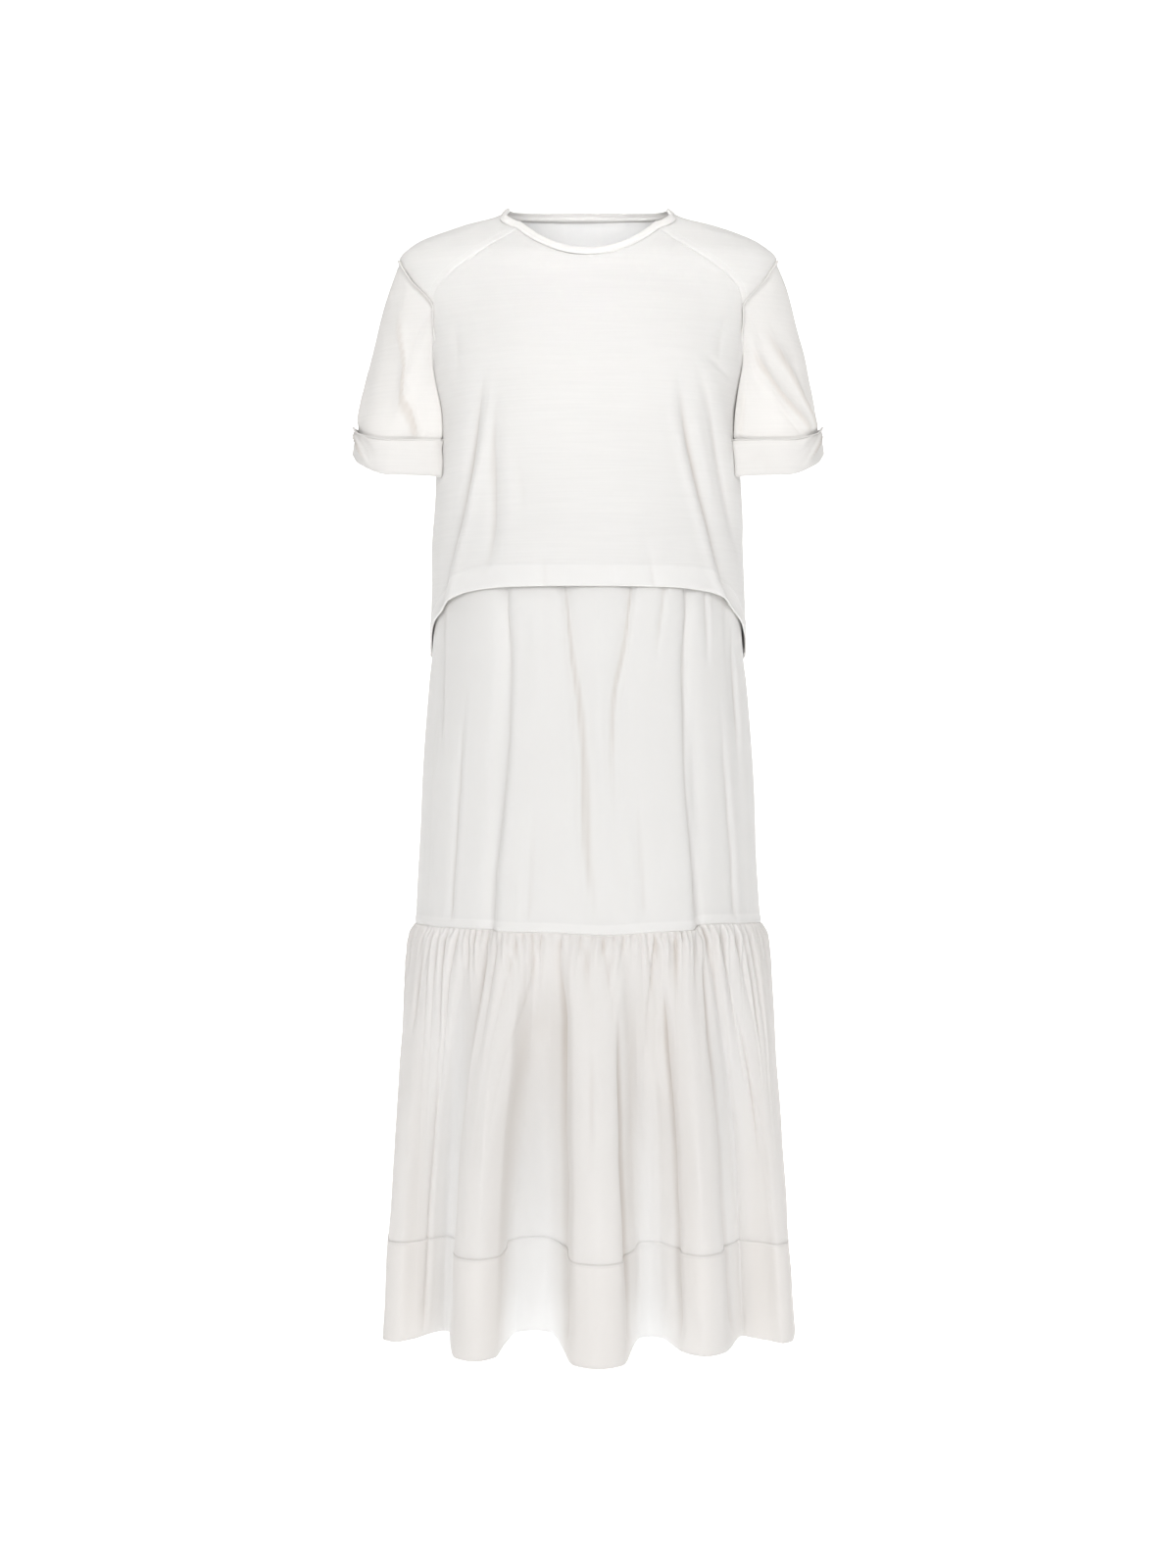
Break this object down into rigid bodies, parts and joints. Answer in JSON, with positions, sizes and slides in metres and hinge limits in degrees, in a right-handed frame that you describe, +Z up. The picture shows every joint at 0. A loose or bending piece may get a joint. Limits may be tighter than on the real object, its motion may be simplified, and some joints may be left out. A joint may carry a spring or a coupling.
{
  "type": "dress",
  "caption": "Long midi dress, filled out as if worn: boxy jersey top with short rolled sleeves over a gathered, tiered poplin skirt with a deep plain hem band, in white.",
  "frame": {"origin": "the middle of the neck opening, level with the shoulder points nearest the neck, where the wearer's shoulders carry the dress", "axes": "+Z up to the wearer's head, the front faces -Y, +X to the right as seen from the front"},
  "size_m": [0.5156, 0.3143, 1.244],
  "materials": {
    "jersey": "matt cotton jersey, off-white",
    "binding": "matt folded jersey binding, off-white",
    "poplin": "crisp matt cotton poplin, off-white"
  },
  "bodies": {
    "root": {"front_panel": "jersey", "back_panel": "jersey", "saddle_left": "jersey", "saddle_right": "jersey", "sleeve_left": "jersey", "sleeve_right": "jersey", "cuff_left": "jersey", "cuff_right": "jersey", "neck_binding": "binding", "waist_casing": "poplin", "skirt_front": "poplin", "skirt_back": "poplin", "flounce_front": "poplin", "flounce_back": "poplin", "hem_band_front": "poplin", "hem_band_back": "poplin"}
  },
  "joints": []
}
